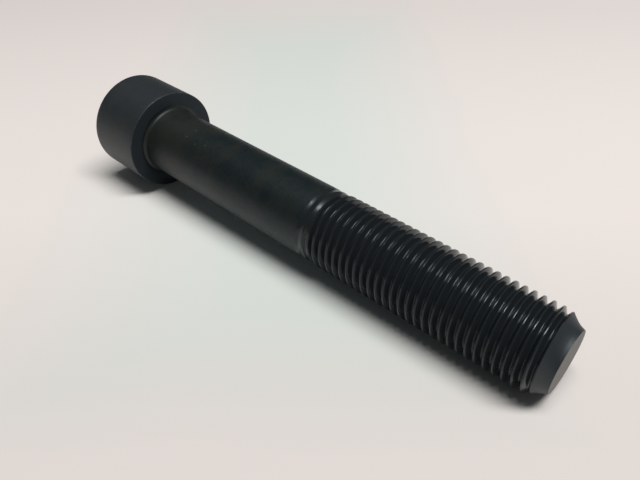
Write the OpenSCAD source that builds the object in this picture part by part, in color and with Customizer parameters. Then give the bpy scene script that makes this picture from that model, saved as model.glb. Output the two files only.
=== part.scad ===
// Hex socket cap screw, M14 x 1.5 fine thread, 90 mm under the head, threaded for half its length.
// It lies on its side at rest: the rim of the head and the last full thread touch the surface.
// +Z is up, the point is towards +X, and the origin is the centre of the footprint on that surface.

/* [Head] */
// Diameter of the head
head_d = 21; // [18:0.25:24]
// Height of the head above its bearing face
head_h = 14; // [12:0.5:18]
// Radius of the rounded edge round the top of the head
top_round = 1.4; // [0.5:0.1:2]
// Radius of the rounded edge round the bearing face
rim_round = 0.35; // [0.1:0.05:0.6]
// Radius of the fillet between the bearing face and the shank
neck_fillet = 0.7; // [0.3:0.1:1.2]

/* [Socket] */
// Width of the hex socket across its flats
socket_af = 12; // [8:0.5:13]
// Depth of the socket's flats below the top of the head
socket_depth = 7; // [5:0.5:10]
// Depth of the shallow cone at the bottom of the socket
socket_cone = 1.2; // [0.4:0.1:2]
// Width of the chamfer outside the corners of the socket's mouth
socket_lead = 0.3; // [0.1:0.05:0.6]

/* [Shank] */
// Diameter of the plain shank
shank_d = 13.84; // [13.74:0.01:13.84]
// Length of the screw from its bearing face to the end of its point
length = 90; // [70:1:140]

/* [Thread] */
// Diameter over the crests of the thread
thread_d = 13.96; // [13.94:0.01:14]
// Distance between one turn and the next
pitch = 1.5; // [1.4:0.05:2]
// Length of the threaded end, from the last full turn near the shank to the point
thread_len = 43; // [30:1:46]
// Length over which the groove fades out towards the shank
runout = 2.2; // [1:0.1:4]
// Height of the small shoulder where the rolled end begins
shoulder_len = 0.3; // [0.2:0.05:0.5]
// Angle about the axis at which the thread ends
thread_turn = 300; // [0:1:359]

/* [Point] */
// Diameter of the flat face at the end
point_d = 10.4; // [9:0.1:11]
// Length of the chamfer behind that face
point_len = 2.5; // [1.5:0.1:3.5]
// Hollowness of the chamfer, where 1 is a straight cone
point_hollow = 1.35; // [1:0.05:1.6]

/* [Hidden] */
$fn = 96;
black_oxide = [0.13, 0.14, 0.145];

head_r = head_d / 2;
shank_r = shank_d / 2;
crest_r = thread_d / 2;
point_r = point_d / 2;

// A 60 degree thread with a flat crest of an eighth of the pitch
thread_depth = 0.6134 * pitch;
root_r = crest_r - thread_depth;
crest_flat = 1 / 8;
flank = thread_depth * tan(30) / pitch;
root_flat = 1 - crest_flat - 2 * flank;

// Places along the axis, from the bearing face towards the point
runout_end = length - thread_len;
runout_start = runout_end - runout;
thread_first = runout_start - pitch;
shoulder_end = thread_first - 0.15;
shoulder_start = shoulder_end - shoulder_len;
thread_last = length - 0.12;

// The shank runs a little way into the rolled end, which joins them
shank_end = shoulder_end - 0.1;

// One step of the thread is one side of its polygon
sides = 30;
steps = ceil(sides * (thread_last - thread_first) / pitch);
bands = steps - sides;
thread_base = thread_last - steps * pitch / sides;
// The rolled end starts just wide enough for the flats of its polygon to clear the shank
shoulder_r = (shank_r + 0.01) / cos(180 / sides);

// Resting on its side, the screw touches at the rim of the head and at the last full crest
touch_x = length - point_len + rim_round;
touch_r = head_r - rim_round - crest_r;
lie_tilt = atan2(touch_r, touch_x) + asin(rim_round / norm([touch_x, touch_r]));
axis_z = (length - point_len) * sin(lie_tilt) + crest_r * cos(lie_tilt);
reach_front = length * cos(lie_tilt) + point_r * sin(lie_tilt);
reach_back = (head_h - top_round) * cos(lie_tilt) + (head_r - top_round) * sin(lie_tilt) + top_round;
bearing_x = (reach_back - reach_front) / 2;

// Points of an arc, from angle a to angle b in count steps
function arc(centre, r, a, b, count) =
    [for (i = [0 : count]) let (t = a + (b - a) * i / count) centre + r * [cos(t), sin(t)]];

// A point at radius r and height z, step i of a turn
function on_turn(i, r, z) =
    let (t = thread_turn + 360 * i / sides) [r * cos(t), r * sin(t), z];

// Radius of the hollow chamfer at height z, or the crest's behind it
function chamfer_r(z) =
    let (t = (length - z) / point_len)
    t >= 1 ? crest_r : point_r + (crest_r - point_r) * pow(t, point_hollow);

// Radius of the groove's bottom at height z: it fades out towards the shank
function groove_r(z) =
    let (t = (z - runout_start) / runout)
    t <= 0 ? crest_r : t >= 1 ? root_r : crest_r - thread_depth * t;

// The four edges of the thread's profile: where they lie in one pitch, and which are in the groove
edge_at = [0, crest_flat, crest_flat + flank, crest_flat + flank + root_flat];
edge_in_groove = [false, false, true, true];

function thread_point(i, k) =
    let (z = thread_base + pitch * (i / sides + edge_at[k]))
    let (r = edge_in_groove[k] ? groove_r(z) : crest_r)
    on_turn(i, min(r, chamfer_r(z)), z);

// Turned body: head, neck fillet and plain shank
module turned_body() {
    neck_r = shank_r + neck_fillet;
    rotate_extrude()
        polygon(concat(
            [[0, shank_end], [0, -head_h]],
            arc([head_r - top_round, top_round - head_h], top_round, -90, 0, 8),
            arc([head_r - rim_round, -rim_round], rim_round, 0, 90, 4),
            arc([neck_r, neck_fillet], neck_fillet, 270, 180, 6),
            [[shank_r, shank_end]]
        ));
}

// Rolled end: the shoulder, the right-hand helical thread with its run-out, and the hollow point
module rolled_end() {
    // The points are kept ring by ring, then step by step along the helix
    ring_a = 0;
    ring_b = sides;
    ring_c = 2 * sides;
    helix = 3 * sides;
    last_turn = helix + 4 * (bands + 1);
    function at(i, k) =
        k == 4 ? at(i + sides, 0)
        : i <= bands ? helix + 4 * i + k
        : last_turn + i - bands - 1;
    function next(j) = (j + 1) % sides;

    points = concat(
        [for (j = [0 : sides - 1]) on_turn(j, shoulder_r, shoulder_start)],
        [for (j = [0 : sides - 1]) on_turn(j, crest_r, shoulder_end)],
        [for (j = [0 : sides - 1]) on_turn(bands + j, point_r, length)],
        [for (i = [0 : bands], k = [0 : 3]) thread_point(i, k)],
        [for (i = [bands + 1 : steps]) thread_point(i, 0)]
    );

    shoulder = [for (j = [0 : sides - 1])
        each [[ring_a + j, ring_b + j, ring_a + next(j)],
              [ring_b + j, ring_b + next(j), ring_a + next(j)]]];

    // From the shoulder up to the first turn, whose open side is closed by a fan of faces
    first_band = [for (j = [0 : sides - 2])
        each [[ring_b + j, at(j, 0), ring_b + j + 1],
              [at(j, 0), at(j + 1, 0), ring_b + j + 1]]];
    first_fan = concat(
        [[ring_b + sides - 1, at(sides - 1, 0), at(sides, 0)]],
        [for (k = [4 : -1 : 1]) [ring_b + sides - 1, at(0, k), at(0, k - 1)]],
        [[ring_b + sides - 1, at(0, 0), ring_b]]
    );

    turns = [for (i = [0 : bands - 1], k = [0 : 3])
        each [[at(i, k), at(i, k + 1), at(i + 1, k)],
              [at(i, k + 1), at(i + 1, k + 1), at(i + 1, k)]]];

    // From the last turn up to the end face, closed in the same way
    last_band = [for (j = [1 : sides - 1])
        each [[at(bands + j, 0), ring_c + j, at(bands + j + 1, 0)],
              [ring_c + j, ring_c + next(j), at(bands + j + 1, 0)]]];
    last_fan = concat(
        [for (k = [0 : 3]) [at(bands + 1, 0), at(bands, k), at(bands, k + 1)]],
        [[at(bands + 1, 0), at(steps, 0), ring_c]],
        [[at(bands + 1, 0), ring_c, ring_c + 1]]
    );

    ends = [[for (j = [0 : sides - 1]) ring_a + j],
            [for (j = [sides - 1 : -1 : 0]) ring_c + j]];

    polyhedron(points, concat(shoulder, first_band, first_fan, turns, last_band, last_fan, ends));
}

// Hex socket with its mouth chamfer and the shallow cone at its bottom
module socket() {
    corner_r = socket_af / sqrt(3);
    mouth_r = corner_r + socket_lead;
    over = 1;
    translate([0, 0, -head_h]) {
        translate([0, 0, -over])
            cylinder(h = over + socket_depth, r = corner_r, $fn = 6);
        // The mouth's cone falls at 45 degrees from the chamfer's edge
        translate([0, 0, -over])
            cylinder(h = over + mouth_r, r1 = mouth_r + over, r2 = 0);
        translate([0, 0, socket_depth - 0.01])
            cylinder(h = socket_cone, r1 = socket_af / 2, r2 = 0);
    }
}

module cap_screw() {
    color(black_oxide)
        translate([bearing_x, 0, axis_z])
            rotate([0, 90 + lie_tilt, 0])
                difference() {
                    union() {
                        turned_body();
                        rolled_end();
                    }
                    socket();
                }
}

cap_screw();
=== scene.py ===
"""Hex socket cap screw, lying on pale paper: its fine mesh, its finishes and the studio round it."""

import logging
from dataclasses import dataclass, field
from enum import Enum
from math import asin, atan2, cos, hypot, pi, radians, sin, sqrt, tan

import bpy
from mathutils import Matrix, Vector

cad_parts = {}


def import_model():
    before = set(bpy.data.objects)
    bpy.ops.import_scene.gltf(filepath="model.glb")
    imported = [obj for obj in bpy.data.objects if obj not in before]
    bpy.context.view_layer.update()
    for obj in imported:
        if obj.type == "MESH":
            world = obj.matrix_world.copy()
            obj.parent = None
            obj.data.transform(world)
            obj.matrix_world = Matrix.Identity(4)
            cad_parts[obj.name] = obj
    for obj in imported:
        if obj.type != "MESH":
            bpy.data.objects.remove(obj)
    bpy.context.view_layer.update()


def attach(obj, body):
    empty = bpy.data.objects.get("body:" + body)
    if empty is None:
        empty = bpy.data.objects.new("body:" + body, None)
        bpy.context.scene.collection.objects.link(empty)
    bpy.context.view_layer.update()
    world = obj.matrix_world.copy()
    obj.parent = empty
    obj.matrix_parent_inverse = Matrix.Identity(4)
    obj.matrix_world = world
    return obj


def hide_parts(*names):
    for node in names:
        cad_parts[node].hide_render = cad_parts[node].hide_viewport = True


log = logging.getLogger("cap_screw")
MM = 0.001
TURN = 2 * pi
SHARP_ANGLE = radians(38)

Colour = tuple[float, float, float]
Profile = list[tuple[float, float, float]]
NodeSocket = bpy.types.NodeSocket


class Area(Enum):
    """The areas of the screw that have a finish of their own, by material slot."""

    HEAD = 0
    BEARING = 1
    SHANK = 2
    ROLLED = 3
    POINT = 4
    END_FACE = 5
    RUN_OUT = 6


@dataclass
class ScrewSizes:
    """Driving sizes in millimetres: the modelled part's, with a few finer ones for this mesh."""

    head_d: float = 21.0
    head_h: float = 14.0
    top_round: float = 1.4
    rim_round: float = 0.35
    rim_break: float = 0.14
    skin: float = 0.02
    neck_fillet: float = 0.7
    socket_af: float = 12.0
    socket_depth: float = 7.0
    socket_cone: float = 1.2
    socket_lead: float = 0.3
    shank_d: float = 13.84
    length: float = 90.0
    thread_d: float = 13.96
    pitch: float = 1.5
    depth_share: float = 0.615
    thread_turn: float = 300.0
    first_crest: float = 41.874
    point_d: float = 10.4
    point_len: float = 2.5
    cut_len: float = 2.66
    cut_hollow: float = 1.5

    @property
    def crest_r(self) -> float:
        """Radius over the crests."""
        return self.thread_d / 2

    @property
    def thread_depth(self) -> float:
        """Depth of the full groove."""
        return self.depth_share * self.pitch


@dataclass
class LyingPose:
    """The screw at rest on its side: where its own frame lies in the model's."""

    sizes: ScrewSizes

    def matrix(self) -> Matrix:
        """Work out the resting place from the rim of the head and the last full crest.

        Returns:
            The matrix from the screw's own frame, with its point along +Z, to the model's.
        """
        s = self.sizes
        touch_x = s.length - s.point_len + s.rim_round
        touch_r = s.head_d / 2 - s.rim_round - s.crest_r
        tilt = atan2(touch_r, touch_x) + asin(s.rim_round / hypot(touch_x, touch_r))
        axis_z = (s.length - s.point_len) * sin(tilt) + s.crest_r * cos(tilt)
        front = s.length * cos(tilt) + s.point_d / 2 * sin(tilt)
        back = (
            (s.head_h - s.top_round) * cos(tilt)
            + (s.head_d / 2 - s.top_round) * sin(tilt)
            + s.top_round
        )
        place = Matrix.Translation(Vector(((back - front) / 2, 0, axis_z)))
        return place @ Matrix.Rotation(pi / 2 + tilt, 4, "Y")


@dataclass
class ThreadForm:
    """The 60 degree thread profile over one pitch: a crest with round edges and a narrow round root.

    Places across the pitch are shares of it, counted from the middle of the crest.
    """

    sizes: ScrewSizes
    edge_start: float = 0.066
    edge_end: float = 0.087
    half_angle: float = pi / 6
    pieces: int = 3

    @property
    def slope(self) -> float:
        """Share of the depth that a flank falls over one whole pitch."""
        return self.sizes.pitch / (self.sizes.thread_depth * tan(self.half_angle))

    @property
    def root_start(self) -> float:
        """Where the flank gives way to the round root."""
        return 0.5 - (1 - 2 / self.slope - self.edge_start - self.edge_end)

    def spread(self, start: float, end: float, first: int) -> list[float]:
        """Places at equal distances from start to end, with the start left out where first is 1."""
        return [start + (end - start) * k / self.pieces for k in range(first, self.pieces + 1)]

    def stations(self) -> list[float]:
        """Places across one pitch where the mesh has an edge.

        Returns:
            The places, from the middle of one crest to just before the next.
        """
        edge = self.spread(self.edge_start, self.edge_end, 0)
        flank = self.spread(self.edge_end, self.root_start, 1)
        root = self.spread(self.root_start, 0.5, 1)
        half = edge + flank + root
        return [0.0] + half + [1 - f for f in reversed(half[:-1])]

    def depth_at(self, share: float) -> float:
        """Depth of the groove at a place.

        Args:
            share: the place across the pitch.

        Returns:
            0 on the crest, 1 at the bottom of the groove.
        """
        away = 0.5 - abs(share % 1.0 - 0.5)
        if away <= self.edge_start:
            return 0.0
        if away < self.edge_end:
            return self.slope * (away - self.edge_start) ** 2 / (2 * (self.edge_end - self.edge_start))
        if away > self.root_start:
            return 1 - self.slope * (0.5 - away) ** 2 / (2 * (0.5 - self.root_start))
        return self.slope * (away - (self.edge_start + self.edge_end) / 2)


class MeshParts:
    """Vertices, faces and the marks that the finishes read, gathered before the mesh is made."""

    def __init__(self) -> None:
        """Start with nothing."""
        self.points: list[Vector] = []
        self.wear: list[float] = []
        self.fade: list[float] = []
        self.cut: list[bool] = []
        self.faces: list[tuple[int, ...]] = []
        self.areas: list[int] = []

    def point(self, place: Vector, wear: float = 0.0, fade: float = 0.0, cut: bool = False) -> int:
        """Add a vertex.

        Args:
            place: where it is, in millimetres.
            wear: how far the black is rubbed off there, 0 to 1.
            fade: how far the black has faded there, 0 to 1.
            cut: whether it lies on the point's chamfer.

        Returns:
            Its number.
        """
        self.points.append(place)
        self.wear.append(wear)
        self.fade.append(fade)
        self.cut.append(cut)
        return len(self.points) - 1

    def face(self, corners: tuple[int, ...], area: Area = Area.ROLLED) -> None:
        """Add a face with its finish, which is the point's where all its corners were cut.

        Args:
            corners: its vertices' numbers, counter-clockwise as seen from outside the metal.
            area: the area that it belongs to.
        """
        if area is Area.ROLLED and all(self.cut[c] for c in corners):
            area = Area.POINT
        self.faces.append(corners)
        self.areas.append(area.value)

    def build(self, name: str, place: Matrix) -> bpy.types.Object:
        """Make the object.

        Args:
            name: the piece's name.
            place: the matrix that lays the points in the model's frame.

        Returns:
            The new object, at the origin, with its place in its mesh.
        """
        mesh = bpy.data.meshes.new(name)
        corners = [(place @ p) * MM for p in self.points]
        mesh.from_pydata([tuple(c) for c in corners], [], self.faces)
        mesh.polygons.foreach_set("material_index", self.areas)
        mesh.polygons.foreach_set("use_smooth", [True] * len(self.faces))
        for label, values in (("wear", self.wear), ("fade", self.fade)):
            layer = mesh.attributes.new(label, "FLOAT", "POINT")
            layer.data.foreach_set("value", values)
        mesh.update()
        mesh.set_sharp_from_angle(angle=SHARP_ANGLE)
        piece = bpy.data.objects.new(name, mesh)
        bpy.context.scene.collection.objects.link(piece)
        return piece


def smooth_step(start: float, end: float, value: float) -> float:
    """Rise from 0 at start to 1 at end, level at both."""
    t = min(max((value - start) / (end - start), 0.0), 1.0)
    return t * t * (3 - 2 * t)


@dataclass(frozen=True)
class Wear:
    """How far the black is rubbed off in each place, 0 to 1."""

    socket: float = 0.15
    lip: float = 0.75
    mouth: float = 0.45
    top: float = 0.1
    top_edge: float = 0.3
    top_edge_least: float = 0.12
    side: float = 0.06
    rim: float = 0.62
    rim_ends: float = 0.2
    bearing: float = 0.05
    fillet: float = 0.1
    shank: float = 0.06
    thread: float = 0.05
    tip: float = 0.3
    end_face: float = 0.1


@dataclass(frozen=True)
class MeshSteps:
    """How finely the screw's mesh is cut, and the small gaps between its rings in millimetres."""

    sides: int = 132
    top_steps: int = 10
    rim_steps: int = 6
    fillet_steps: int = 8
    side_shares: tuple[float, ...] = (0.08, 0.3, 0.6, 0.9)
    bearing_shares: tuple[float, ...] = (0.0, 0.35, 0.7, 1.0)
    shank_shares: tuple[float, ...] = (0.05, 0.12, 0.2, 0.28, 0.36, 0.44, 0.6, 0.8, 1.0)
    cone_inset: float = 0.05
    cone_lift: float = 0.02
    wall_step: float = 0.12
    mouth_guard: float = 0.25
    rim_guard: float = 0.35
    neck_guard: float = 0.25
    shank_gap: float = 0.2
    tip_gap: float = 0.05
    end_inset: float = 0.12


@dataclass
class CapScrew:
    """The whole screw, turned head to hollow point, as one closed mesh.

    The blank gives the radius over the crests at heights in the run-out, both in millimetres.
    """

    sizes: ScrewSizes = field(default_factory=ScrewSizes)
    mesh: MeshSteps = MeshSteps()
    wear: Wear = Wear()
    blank: tuple[tuple[float, float], ...] = (
        (43.45, 6.92),
        (43.52, 6.915),
        (43.85, 6.84),
        (44.20, 6.765),
        (44.45, 6.79),
        (45.00, 6.90),
        (45.20, 6.875),
        (45.50, 6.805),
        (45.87, 6.71),
        (46.40, 6.74),
        (46.90, 6.95),
        (47.10, 6.98),
    )
    lift_end: float = 45.97
    lift_rate: float = 1.2
    run_out_end: float = 46.0
    faded_neck: tuple[float, float] = (6.0, 21.0)

    def on_turn(self, step: float, r: float, z: float) -> Vector:
        """A point at radius r and height z, a number of steps round from the thread's end angle."""
        t = radians(self.sizes.thread_turn) + TURN * step / self.mesh.sides
        return Vector((r * cos(t), r * sin(t), z))

    def chamfer_r(self, z: float) -> float:
        """Radius of the hollow chamfer.

        Args:
            z: the height to look at.

        Returns:
            The chamfer's radius, or the crests' behind it.
        """
        s = self.sizes
        t = (s.length - z) / s.cut_len
        if t >= 1:
            return s.crest_r
        return s.point_d / 2 + (s.crest_r - s.point_d / 2) * max(t, 0.0) ** s.cut_hollow

    def blank_r(self, z: float) -> float:
        """Radius over the crests, which dips where the shank gives way to the thread.

        Args:
            z: the height to look at.

        Returns:
            The radius there.
        """
        if z <= self.blank[0][0]:
            return self.blank[0][1]
        for (low_z, low_r), (high_z, high_r) in zip(self.blank, self.blank[1:]):
            if z < high_z:
                return low_r + (high_r - low_r) * (z - low_z) / (high_z - low_z)
        return self.blank[-1][1]

    def area_at(self, z: float) -> Area:
        """The area that a place on the rolled end belongs to.

        Args:
            z: its height.

        Returns:
            The area.
        """
        if z < self.blank[0][0]:
            return Area.SHANK
        return Area.RUN_OUT if z < self.run_out_end else Area.ROLLED

    def groove_lift(self, z: float) -> float:
        """How much shallower than its full depth the groove is at height z, in its run-out."""
        return max(0.0, self.lift_rate * (self.lift_end - z))

    def ring(self, parts: MeshParts, r: float, z: float, wear: float = 0.0, first: int = 0) -> list[int]:
        """Add a ring of vertices round the axis.

        Args:
            parts: the mesh so far.
            r: its radius.
            z: its height.
            wear: how far its black is rubbed off.
            first: the step where it starts.

        Returns:
            Its vertices' numbers.
        """
        fade = 1 - smooth_step(*self.faded_neck, z) if z > 0 else 0.0
        steps = range(first, first + self.mesh.sides)
        return [parts.point(self.on_turn(step, r, z), wear, fade) for step in steps]

    def band(self, parts: MeshParts, last: list[int], now: list[int], area: Area) -> None:
        """Join two rings, in the order that runs from the socket over the head to the point.

        Args:
            parts: the mesh so far.
            last: the ring that comes first.
            now: the ring after it, with as many vertices.
            area: the finish of the faces between them.
        """
        n = len(last)
        for j in range(n):
            k = (j + 1) % n
            parts.face((last[j], last[k], now[k], now[j]), area)

    def socket(self, parts: MeshParts, top: float, mouth_r: float) -> list[int]:
        """Build the hex socket, from the tip of the cone at its bottom to its mouth.

        Args:
            parts: the mesh so far.
            top: the height of the head's top.
            mouth_r: the radius of the mouth's chamfer.

        Returns:
            The mouth's ring.
        """
        s = self.sizes
        m = self.mesh
        sixth = TURN / 6

        def hex_r(step: int) -> float:
            """Radius of the hexagon's wall in the direction of a step."""
            t = radians(s.thread_turn) + TURN * step / m.sides
            return s.socket_af / 2 / cos((t % sixth) - sixth / 2)

        apex = parts.point(Vector((0, 0, top + s.socket_depth + s.socket_cone)))
        cone = self.ring(parts, s.socket_af / 2 - m.cone_inset, top + s.socket_depth + m.cone_lift)
        for j in range(m.sides):
            parts.face((apex, cone[(j + 1) % m.sides], cone[j]), Area.HEAD)
        last = cone
        for depth in (s.socket_depth, s.socket_depth - m.wall_step):
            wall = [
                parts.point(self.on_turn(j, hex_r(j), top + depth), self.wear.socket)
                for j in range(m.sides)
            ]
            self.band(parts, last, wall, Area.HEAD)
            last = wall
        lip = [
            parts.point(self.on_turn(j, hex_r(j), top + mouth_r - hex_r(j)), self.wear.lip)
            for j in range(m.sides)
        ]
        self.band(parts, last, lip, Area.HEAD)
        mouth = self.ring(parts, mouth_r, top, self.wear.mouth)
        self.band(parts, lip, mouth, Area.HEAD)
        return mouth

    def turned_body(self, parts: MeshParts) -> list[int]:
        """Build the socket, head, neck and shank from the inside of the socket to the thread.

        Args:
            parts: the mesh so far.

        Returns:
            The last ring, at the start of the rolled end.
        """
        top = -self.sizes.head_h
        mouth_r = self.sizes.socket_af / sqrt(3) + self.sizes.socket_lead
        last = self.socket(parts, top, mouth_r)
        last = self.lathe(parts, last, self.head_profile(mouth_r, top), Area.HEAD)
        last = self.lathe(parts, last, self.bearing_profile(), Area.BEARING)
        return self.lathe(parts, last, self.shank_profile(), Area.SHANK)

    def lathe(self, parts: MeshParts, last: list[int], profile: Profile, area: Area) -> list[int]:
        """Turn a profile, going on from the last ring.

        Args:
            parts: the mesh so far.
            last: the ring to go on from.
            profile: the radius, height and wear of each ring.
            area: its finish.

        Returns:
            The profile's last ring.
        """
        for r, z, wear in profile:
            now = self.ring(parts, r, z, wear)
            self.band(parts, last, now, area)
            last = now
        return last

    def head_profile(self, mouth_r: float, top: float) -> Profile:
        """Profile of the head's top, rounded edge, side and rim.

        Args:
            mouth_r: the radius of the socket's mouth.
            top: the height of the head's top.

        Returns:
            The radius, height and wear of each ring.
        """
        s = self.sizes
        m = self.mesh
        w = self.wear
        head_r = s.head_d / 2 - s.skin
        profile: Profile = [(mouth_r + m.mouth_guard, top, w.top)]
        for k in range(m.top_steps + 1):
            t = -pi / 2 + pi / 2 * k / m.top_steps
            r = head_r - s.top_round + s.top_round * cos(t)
            z = top + s.top_round + s.top_round * sin(t)
            profile.append((r, z, w.top_edge * cos(2 * t + pi / 2) ** 2 + w.top_edge_least))
        for share in m.side_shares:
            z = top + s.top_round + (s.head_h - s.top_round - s.rim_break) * share
            profile.append((head_r, z, w.side))
        for k in range(m.rim_steps + 1):
            t = pi / 2 * k / m.rim_steps
            r = head_r - s.rim_break + s.rim_break * cos(t)
            z = -s.rim_break + s.rim_break * sin(t)
            profile.append((r, z, w.rim if 0 < k < m.rim_steps else w.rim_ends))
        return profile

    def bearing_profile(self) -> Profile:
        """Profile of the flat bearing face, without its rim.

        Returns:
            The radius, height and wear of each ring.
        """
        s = self.sizes
        outer = s.head_d / 2 - s.skin - s.rim_break - self.mesh.rim_guard
        inner = s.shank_d / 2 + s.neck_fillet + self.mesh.neck_guard
        shares = self.mesh.bearing_shares
        return [(outer + (inner - outer) * share, 0.0, self.wear.bearing) for share in shares]

    def shank_profile(self) -> Profile:
        """Profile of the neck fillet and the plain shank.

        Returns:
            The radius, height and wear of each ring.
        """
        s = self.sizes
        shank_r = s.shank_d / 2
        neck_r = shank_r + s.neck_fillet
        profile: Profile = []
        for k in range(self.mesh.fillet_steps + 1):
            t = -pi / 2 - pi / 2 * k / self.mesh.fillet_steps
            r = neck_r + s.neck_fillet * cos(t)
            profile.append((r, s.neck_fillet + s.neck_fillet * sin(t), self.wear.fillet))
        end = s.first_crest - self.mesh.shank_gap
        for share in self.mesh.shank_shares:
            z = s.neck_fillet + (end - s.neck_fillet) * share
            profile.append((shank_r, z, self.wear.shank))
        return profile

    def rolled_end(self, parts: MeshParts, shank: list[int]) -> None:
        """Build the right-hand helical thread, its run-out and the hollow point.

        Args:
            parts: the mesh so far.
            shank: the shank's last ring.
        """
        s = self.sizes
        form = ThreadForm(s)
        stations = form.stations()
        rows = len(stations)
        n = self.mesh.sides
        steps = int(n * (s.length - self.mesh.tip_gap - s.first_crest) / s.pitch)
        bands = steps - n
        helix: list[list[int]] = []
        for i in range(steps + 1):
            row: list[int] = []
            for share in stations if i <= bands else stations[:1]:
                z = s.first_crest + s.pitch * (i / n + share)
                r = s.crest_r - s.thread_depth * form.depth_at(share) + self.groove_lift(z)
                r = min(r, self.blank_r(z))
                limit = self.chamfer_r(z)
                place = self.on_turn(i, min(r, limit), z)
                row.append(parts.point(place, self.wear.thread, 0.0, limit < r))
            helix.append(row)

        def at(i: int, k: int) -> int:
            """Vertex of a step and a row, where the row past the last is the next turn's first."""
            return helix[i + n][0] if k == rows else helix[i][k]

        for j in range(n - 1):
            parts.face((shank[j], shank[j + 1], at(j + 1, 0), at(j, 0)), Area.SHANK)
        seam = [at(0, k) for k in range(rows, -1, -1)]
        parts.face((shank[n - 1], at(n, 0), at(n - 1, 0)), Area.SHANK)
        for a, b in zip(seam, seam[1:]):
            parts.face((shank[n - 1], b, a), Area.SHANK)
        parts.face((shank[n - 1], shank[0], at(0, 0)), Area.SHANK)
        for i in range(bands):
            for k in range(rows):
                z = s.first_crest + s.pitch * (i / n + stations[k])
                corners = (at(i, k), at(i + 1, k), at(i + 1, k + 1), at(i, k + 1))
                parts.face(corners, self.area_at(z))
        tip = self.ring(parts, s.point_d / 2, s.length - s.skin, self.wear.tip, bands)
        for number in tip:
            parts.cut[number] = True
        for j in range(1, n):
            k = (j + 1) % n
            parts.face((at(bands + j, 0), at(bands + j + 1, 0), tip[k], tip[j]))
        seam = [at(bands, k) for k in range(rows + 1)] + [tip[0], tip[1]]
        for a, b in zip(seam, seam[1:]):
            parts.face((at(bands + 1, 0), b, a))
        inner_r = s.point_d / 2 - self.mesh.end_inset
        inner = self.ring(parts, inner_r, s.length - s.skin, self.wear.end_face, bands)
        self.band(parts, tip, inner, Area.END_FACE)
        parts.face(tuple(inner), Area.END_FACE)

    def make(self) -> bpy.types.Object:
        """Build the screw, dress it and let it stand for its node.

        Returns:
            The finished piece.
        """
        parts = MeshParts()
        self.rolled_end(parts, self.turned_body(parts))
        piece = parts.build("black_cap_screw", LyingPose(self.sizes).matrix())
        blacks = (HEAD_BLACK, BEARING_BLACK_AND_PAINTED_FILL, SHANK_BLACK, ROLLED_BLACK, POINT_BLACK)
        for finish in (*blacks, SawnEnd(), RUN_OUT_BLACK):
            piece.data.materials.append(finish.make())
        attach(piece, "root")
        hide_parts("cap_screw")
        log.info("%s: %d faces", piece.name, len(piece.data.polygons))
        return piece


@dataclass(frozen=True)
class Noise:
    """A noise over the piece itself, with its scale per metre."""

    scale: float
    detail: float
    rough: float


@dataclass(frozen=True)
class Ramp:
    """A clamped change of a value from one range to another."""

    low: float
    high: float
    to_low: float
    to_high: float


class NodeBoard:
    """A small helper that lays out a material's nodes."""

    def __init__(self, name: str) -> None:
        """Start an empty material.

        Args:
            name: its name.
        """
        self.material = bpy.data.materials.new(name)
        self.material.use_nodes = True
        self.tree = self.material.node_tree
        self.tree.nodes.clear()
        self.output = self.tree.nodes.new("ShaderNodeOutputMaterial")

    def add(self, kind: str, **settings: object) -> bpy.types.Node:
        """Add a node.

        Args:
            kind: its type.
            **settings: its settings, by attribute name.

        Returns:
            The node.
        """
        node = self.tree.nodes.new(kind)
        for key, value in settings.items():
            setattr(node, key, value)
        return node

    def link(self, start: NodeSocket, end: NodeSocket) -> None:
        """Join an output to an input."""
        self.tree.links.new(start, end)

    def noise(self, kind: Noise) -> NodeSocket:
        """Add a noise.

        Args:
            kind: its scale, detail and roughness.

        Returns:
            Its value.
        """
        where = self.add("ShaderNodeTexCoord")
        node = self.add("ShaderNodeTexNoise")
        node.inputs["Scale"].default_value = kind.scale
        node.inputs["Detail"].default_value = kind.detail
        node.inputs["Roughness"].default_value = kind.rough
        self.link(where.outputs["Object"], node.inputs["Vector"])
        return node.outputs["Fac"]

    def along(self, direction: tuple[float, float, float]) -> NodeSocket:
        """Distance of a place on the piece along a direction.

        Args:
            direction: the direction, of length 1.

        Returns:
            The distance in metres.
        """
        where = self.add("ShaderNodeTexCoord")
        node = self.add("ShaderNodeVectorMath", operation="DOT_PRODUCT")
        node.inputs[1].default_value = direction
        self.link(where.outputs["Object"], node.inputs[0])
        return node.outputs["Value"]

    def mark(self, name: str) -> NodeSocket:
        """A value stored on the mesh under a name."""
        return self.add("ShaderNodeAttribute", attribute_name=name).outputs["Fac"]

    def remap(self, value: NodeSocket, ramp: Ramp) -> NodeSocket:
        """Map a value from one range to another, clamped.

        Args:
            value: the value.
            ramp: the two ranges.

        Returns:
            The mapped value.
        """
        node = self.add("ShaderNodeMapRange")
        node.inputs["From Min"].default_value = ramp.low
        node.inputs["From Max"].default_value = ramp.high
        node.inputs["To Min"].default_value = ramp.to_low
        node.inputs["To Max"].default_value = ramp.to_high
        self.link(value, node.inputs["Value"])
        return node.outputs["Result"]

    def math(self, operation: str, a: NodeSocket, b: NodeSocket | float) -> NodeSocket:
        """Combine two values.

        Args:
            operation: what to do with them.
            a: the first.
            b: the second, as a socket or a plain number.

        Returns:
            The result.
        """
        node = self.add("ShaderNodeMath", operation=operation)
        self.link(a, node.inputs[0])
        if isinstance(b, (int, float)):
            node.inputs[1].default_value = b
        else:
            self.link(b, node.inputs[1])
        return node.outputs["Value"]

    def mix(self, share: NodeSocket, a: Colour, b: Colour) -> NodeSocket:
        """Blend two colours.

        Args:
            share: how much of the second there is.
            a: the first colour.
            b: the second colour.

        Returns:
            The blend.
        """
        node = self.add("ShaderNodeMix", data_type="RGBA")
        node.inputs["A"].default_value = (*a, 1)
        node.inputs["B"].default_value = (*b, 1)
        self.link(share, node.inputs["Factor"])
        return node.outputs["Result"]


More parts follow.
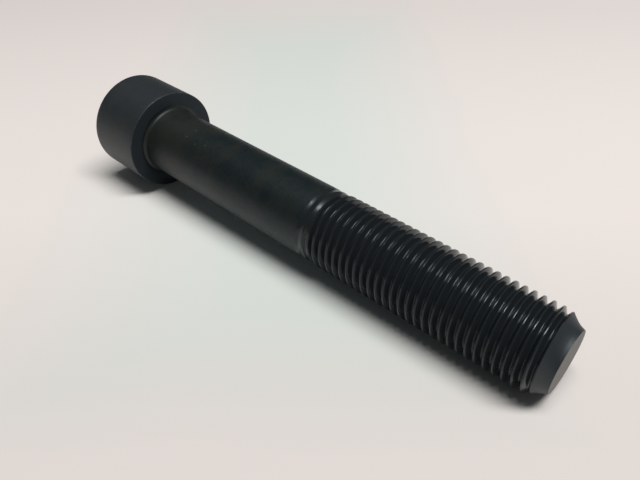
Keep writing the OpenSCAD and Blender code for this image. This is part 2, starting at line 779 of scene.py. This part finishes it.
@dataclass(frozen=True)
class BlackOxide:
    """Satin black oxide over steel, faded by the neck and rubbed bare on edges and at small nicks.

    Each nick is a height along the shank in millimetres and an angle round it in degrees.
    """

    name: str
    ior: float
    rough_low: float
    rough_high: float
    black: Colour
    faded: Colour
    rubbed: Colour = (0.20, 0.205, 0.20)
    mirror_tint: Colour = (0.84, 0.97, 1.0)
    bump: float = 0.00003
    bump_strength: float = 0.22
    blotch: Noise = Noise(260.0, 4.0, 0.6)
    grain: Noise = Noise(5200.0, 3.0, 0.6)
    patch: Noise = Noise(1500.0, 5.0, 0.7)
    fade_weight: float = 0.25
    fade_ramp: Ramp = Ramp(0.4, 0.75, 0, 1)
    worn_patches: Ramp = Ramp(0.34, 0.66, 0.15, 1.25)
    bare_ramp: Ramp = Ramp(0.5, 1.1, 0.0, 0.8)
    bare_metal: float = 0.9
    bare_polish: float = 0.12
    grain_range: tuple[float, float] = (0.3, 0.7)
    grain_height: float = 0.35
    patch_height: float = 0.7
    nicks: tuple[tuple[float, float], ...] = ()
    nick_ragged: float = 0.0003
    nick_edge: Ramp = Ramp(0.00022, 0.00030, 0.75, 0.0)

    def make(self) -> bpy.types.Material:
        """Build the material.

        Returns:
            The finished material.
        """
        board = NodeBoard(self.name)
        shader = board.add("ShaderNodeBsdfPrincipled")
        shader.inputs["IOR"].default_value = self.ior
        shader.inputs["Specular Tint"].default_value = (*self.mirror_tint, 1)
        board.link(shader.outputs["BSDF"], board.output.inputs["Surface"])
        blotch = board.noise(self.blotch)
        grain = board.noise(self.grain)
        patch = board.noise(self.patch)
        neck = board.math("MULTIPLY", board.mark("fade"), self.fade_weight)
        faded = board.math("ADD", blotch, neck)
        tone = board.mix(board.remap(faded, self.fade_ramp), self.black, self.faded)
        edge = board.math("MULTIPLY", board.mark("wear"), board.remap(patch, self.worn_patches))
        bare = board.remap(edge, self.bare_ramp)
        for z, angle in self.nicks:
            bare = board.math("MAXIMUM", bare, self.nick(board, z, angle, grain))
        colour = board.add("ShaderNodeMix", data_type="RGBA")
        colour.inputs["B"].default_value = (*self.rubbed, 1)
        board.link(bare, colour.inputs["Factor"])
        board.link(tone, colour.inputs["A"])
        board.link(colour.outputs["Result"], shader.inputs["Base Color"])
        board.link(board.math("MULTIPLY", bare, self.bare_metal), shader.inputs["Metallic"])
        rough = board.remap(grain, Ramp(*self.grain_range, self.rough_low, self.rough_high))
        polish = board.math("MULTIPLY", bare, self.bare_polish)
        board.link(board.math("SUBTRACT", rough, polish), shader.inputs["Roughness"])
        bump = board.add("ShaderNodeBump")
        bump.inputs["Strength"].default_value = self.bump_strength
        bump.inputs["Distance"].default_value = self.bump
        fine = board.math("MULTIPLY", grain, self.grain_height)
        coarse = board.math("MULTIPLY", patch, self.patch_height)
        board.link(board.math("ADD", fine, coarse), bump.inputs["Height"])
        board.link(bump.outputs["Normal"], shader.inputs["Normal"])
        return board.material

    def nick(self, board: NodeBoard, z: float, angle: float, grain: NodeSocket) -> NodeSocket:
        """A small bare spot with a ragged edge.

        Args:
            board: the material's nodes.
            z: its height along the screw, in millimetres.
            angle: where it is round the shank, in degrees.
            grain: the noise that breaks its edge.

        Returns:
            How bare the steel is, 0 away from the spot.
        """
        sizes = ScrewSizes()
        r = sizes.shank_d / 2
        t = radians(angle)
        centre = LyingPose(sizes).matrix() @ Vector((r * cos(t), r * sin(t), z)) * MM
        gap = board.add("ShaderNodeVectorMath", operation="DISTANCE")
        gap.inputs[1].default_value = centre
        where = board.add("ShaderNodeTexCoord")
        board.link(where.outputs["Object"], gap.inputs[0])
        ragged = board.math("MULTIPLY", grain, self.nick_ragged)
        return board.remap(board.math("ADD", gap.outputs["Value"], ragged), self.nick_edge)


HEAD_BLACK = BlackOxide(
    name="black_oxide_head",
    ior=1.55,
    rough_low=0.42,
    rough_high=0.58,
    black=(0.0160, 0.0185, 0.0225),
    faded=(0.021, 0.023, 0.0225),
    bump=0.0004,
)
# Partly painted light: the bearing face's black is lighter and bluer than the head's, partly its own
# finish and partly painted fill light for the shade it lies in.
BEARING_BLACK_AND_PAINTED_FILL = BlackOxide(
    name="black_oxide_bearing_and_painted_fill",
    ior=1.3,
    rough_low=0.5,
    rough_high=0.6,
    black=(0.0225, 0.0285, 0.035),
    faded=(0.026, 0.031, 0.037),
)
SHANK_BLACK = BlackOxide(
    name="black_oxide_shank",
    ior=1.45,
    rough_low=0.38,
    rough_high=0.54,
    black=(0.0030, 0.0075, 0.0085),
    faded=(0.0135, 0.0150, 0.0125),
    bump=0.0003,
    nicks=((10.2, 209.0), (15.7, 208.0), (10.7, 191.0), (13.4, 214.0)),
)
ROLLED_BLACK = BlackOxide(
    name="black_oxide_rolled",
    ior=1.37,
    rough_low=0.10,
    rough_high=0.16,
    black=(0.0140, 0.0170, 0.0200),
    faded=(0.0155, 0.0180, 0.0195),
)
RUN_OUT_BLACK = BlackOxide(
    name="black_oxide_run_out",
    ior=1.45,
    rough_low=0.22,
    rough_high=0.30,
    black=(0.0120, 0.0150, 0.0165),
    faded=(0.0135, 0.0160, 0.0165),
)
POINT_BLACK = BlackOxide(
    name="black_oxide_point",
    ior=1.58,
    rough_low=0.46,
    rough_high=0.56,
    black=(0.0105, 0.0135, 0.0175),
    faded=(0.014, 0.016, 0.020),
)


@dataclass(frozen=True)
class SawnEnd:
    """The flat end face: grey and grainy, with a darker mottle."""

    light: Colour = (0.182, 0.171, 0.160)
    dark: Colour = (0.058, 0.056, 0.055)
    ior: float = 1.55
    metal: float = 0.25
    grain: Noise = Noise(3800.0, 4.0, 0.7)
    mottle: Ramp = Ramp(0.4, 0.58, 0, 1)
    rough: Ramp = Ramp(0.3, 0.7, 0.42, 0.62)
    bump: float = 0.00005
    bump_strength: float = 0.5

    def make(self) -> bpy.types.Material:
        """Build the material.

        Returns:
            The finished material.
        """
        board = NodeBoard("grainy_end")
        shader = board.add("ShaderNodeBsdfPrincipled")
        shader.inputs["IOR"].default_value = self.ior
        shader.inputs["Metallic"].default_value = self.metal
        board.link(shader.outputs["BSDF"], board.output.inputs["Surface"])
        grain = board.noise(self.grain)
        colour = board.mix(board.remap(grain, self.mottle), self.dark, self.light)
        board.link(colour, shader.inputs["Base Color"])
        board.link(board.remap(grain, self.rough), shader.inputs["Roughness"])
        bump = board.add("ShaderNodeBump")
        bump.inputs["Strength"].default_value = self.bump_strength
        bump.inputs["Distance"].default_value = self.bump
        board.link(grain, bump.inputs["Height"])
        board.link(bump.outputs["Normal"], shader.inputs["Normal"])
        return board.material


@dataclass
class PaperGround:
    """The pale paper that the screw lies on: cool along a strip, warmer beside it, near and far, with
    painted shade darkening it on the near side and far off.
    """

    size: float = 3.0
    cool: Colour = (0.73, 0.768, 0.740)
    warm: Colour = (0.84, 0.775, 0.750)
    across: tuple[float, float, float] = (0.74, 0.67, 0.0)
    away: tuple[float, float, float] = (-0.67, 0.74, 0.0)
    rough: float = 0.9
    specular: float = 0.2
    strip_shift: float = 0.004
    near_ramp: Ramp = Ramp(-0.050, -0.012, 0.055, 0.0)
    far_ramp: Ramp = Ramp(0.095, 0.165, 0.0, 0.045)
    cloud: Noise = Noise(14.0, 2.0, 0.5)
    cloud_weight: float = 0.02
    tint_ramp: Ramp = Ramp(0.02, 0.062, 0, 1)
    # Painted shade: near_shade darkens the paper's colour as a painted soft shadow on the near side,
    # far_shade as painted dimming of the light far off.
    near_shade: Ramp = Ramp(-0.035, 0.012, 0.89, 1.0)
    far_shade: Ramp = Ramp(0.05, 0.16, 1.0, 0.925)

    def paper(self) -> bpy.types.Material:
        """Build the paper's faintly mottled material, with its painted shade near and far.

        Returns:
            The material.
        """
        board = NodeBoard("pale_paper")
        shader = board.add("ShaderNodeBsdfPrincipled")
        shader.inputs["Roughness"].default_value = self.rough
        shader.inputs["Specular IOR Level"].default_value = self.specular
        board.link(shader.outputs["BSDF"], board.output.inputs["Surface"])
        strip = board.math("ADD", board.along(self.across), self.strip_shift)
        side = board.math("ABSOLUTE", strip, 0.0)
        near = board.remap(board.along(self.away), self.near_ramp)
        far = board.remap(board.along(self.away), self.far_ramp)
        cloud = board.math("MULTIPLY", board.noise(self.cloud), self.cloud_weight)
        edge = board.math("MAXIMUM", side, board.math("MAXIMUM", near, far))
        tint = board.remap(board.math("ADD", edge, cloud), self.tint_ramp)
        # Painted shade: the paper's colour is scaled darker near and far, a painted shadow and painted
        # dimming, not a tone of the paper.
        shade = board.remap(board.along(self.away), self.near_shade)
        painted_far_dimming = board.remap(board.along(self.away), self.far_shade)
        shade = board.math("MULTIPLY", shade, painted_far_dimming)
        paint = board.add("ShaderNodeVectorMath", operation="SCALE")
        board.link(board.mix(tint, self.cool, self.warm), paint.inputs[0])
        board.link(shade, paint.inputs["Scale"])
        board.link(paint.outputs[0], shader.inputs["Base Color"])
        return board.material

    def make(self) -> bpy.types.Object:
        """Build the sheet.

        Returns:
            The stage object.
        """
        half = self.size / 2
        corners = [(-half, -half, 0), (half, -half, 0), (half, half, 0), (-half, half, 0)]
        mesh = bpy.data.meshes.new("pale_paper")
        mesh.from_pydata(corners, [], [(0, 1, 2, 3)])
        sheet = bpy.data.objects.new("pale_paper", mesh)
        bpy.context.scene.collection.objects.link(sheet)
        mesh.materials.append(self.paper())
        return sheet


@dataclass
class StudioLight:
    """One long soft lamp overhead, with the room's dim even light round it."""

    room: float = 0.085
    room_colour: Colour = (0.87, 0.96, 1.0)
    lamp_colour: Colour = (1.0, 0.99, 0.97)
    lamp_power: float = 25.4
    lamp_size: tuple[float, float] = (1.25, 0.375)
    lamp_place: tuple[float, float, float] = (0.375, 0.075, 1.50)
    lamp_turn: float = 42.0

    def make(self) -> None:
        """Build the world and the lamp."""
        world = bpy.data.worlds.new("room")
        bpy.context.scene.world = world
        world.use_nodes = True
        back = world.node_tree.nodes["Background"]
        back.inputs["Color"].default_value = (*self.room_colour, 1)
        back.inputs["Strength"].default_value = self.room
        lamp = bpy.data.lights.new("long_lamp", "AREA")
        lamp.shape = "RECTANGLE"
        lamp.size, lamp.size_y = self.lamp_size
        lamp.energy = self.lamp_power
        lamp.color = self.lamp_colour
        holder = bpy.data.objects.new("long_lamp", lamp)
        holder.location = self.lamp_place
        holder.rotation_euler = (0.0, 0.0, radians(self.lamp_turn))
        bpy.context.scene.collection.objects.link(holder)


@dataclass
class PhotoCamera:
    """The camera close above the screw's point, looking down along it."""

    image_width: float = 640.0
    focal_px: float = 584.99
    sensor_mm: float = 36.0
    clip: tuple[float, float] = (0.001, 20.0)
    place_mm: tuple[float, float, float] = (63.206, -64.175, 69.998)
    forward: tuple[float, float, float] = (-0.534362, 0.593285, -0.602055)

    def make(self) -> bpy.types.Object:
        """Build the camera and make it the scene's.

        Returns:
            The camera object.
        """
        data = bpy.data.cameras.new("photo_camera")
        data.sensor_fit = "HORIZONTAL"
        data.sensor_width = self.sensor_mm
        data.lens = self.focal_px / self.image_width * data.sensor_width
        data.clip_start, data.clip_end = self.clip
        camera = bpy.data.objects.new("photo_camera", data)
        ahead = Vector(self.forward).normalized()
        right = ahead.cross(Vector((0, 0, 1))).normalized()
        up = right.cross(ahead)
        turn = Matrix((right, up, -ahead)).transposed().to_4x4()
        camera.matrix_world = Matrix.Translation(Vector(self.place_mm) * MM) @ turn
        bpy.context.scene.collection.objects.link(camera)
        bpy.context.scene.camera = camera
        return camera


def main() -> None:
    """Build the camera, the screw, the paper and the light."""
    logging.basicConfig(level=logging.INFO, format="%(name)s: %(message)s")
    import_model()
    scene = bpy.context.scene
    scene.view_settings.view_transform = "Standard"
    PhotoCamera().make()
    CapScrew().make()
    PaperGround().make()
    StudioLight().make()


if __name__ == "__main__":
    main()
